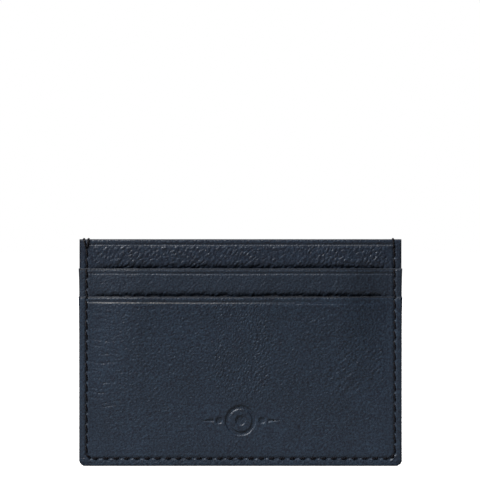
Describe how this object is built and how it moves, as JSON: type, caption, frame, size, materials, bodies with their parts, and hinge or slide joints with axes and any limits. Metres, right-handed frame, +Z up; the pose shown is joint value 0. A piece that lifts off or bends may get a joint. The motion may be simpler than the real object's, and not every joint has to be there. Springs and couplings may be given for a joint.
{
  "type": "card holder",
  "caption": "Slim leather card holder with stepped card slots on both faces, a centre pocket open at the top and a sewn, painted edge.",
  "frame": {"origin": "centre of the bottom edge, on the surface that it stands on", "axes": "+X across the width, +Z up to the pocket mouths, front face towards -Y"},
  "size_m": [0.1002, 0.0092, 0.0702],
  "materials": {
    "body_leather": "navy pebbled, semi-matt",
    "pocket_leather": "navy fine-grained, semi-matt",
    "lining": "dark navy twill",
    "thread": "waxed polyester, near black",
    "edge_paint": "satin edge paint",
    "board": "bonded leather fibre board"
  },
  "bodies": {
    "root": {"front_body_panel": "body_leather", "front_reinforcement": "board", "front_centre_lining": "lining", "front_top_edge_paint": "edge_paint", "front_upper_pocket": "pocket_leather", "front_upper_lining": "lining", "front_upper_slot_stitch": "thread", "front_upper_mouth_paint": "edge_paint", "front_lower_pocket": "pocket_leather", "front_lower_lining": "lining", "front_lower_mouth_paint": "edge_paint", "front_seam_filler": "body_leather", "back_body_panel": "body_leather", "back_reinforcement": "board", "back_centre_lining": "lining", "back_top_edge_paint": "edge_paint", "back_upper_pocket": "pocket_leather", "back_upper_lining": "lining", "back_upper_slot_stitch": "thread", "back_upper_mouth_paint": "edge_paint", "back_lower_pocket": "pocket_leather", "back_lower_lining": "lining", "back_lower_mouth_paint": "edge_paint", "back_seam_filler": "body_leather", "needle_thread": "thread", "bobbin_thread": "thread", "left_edge_paint": "edge_paint", "bottom_edge_paint": "edge_paint", "right_edge_paint": "edge_paint"}
  },
  "joints": []
}
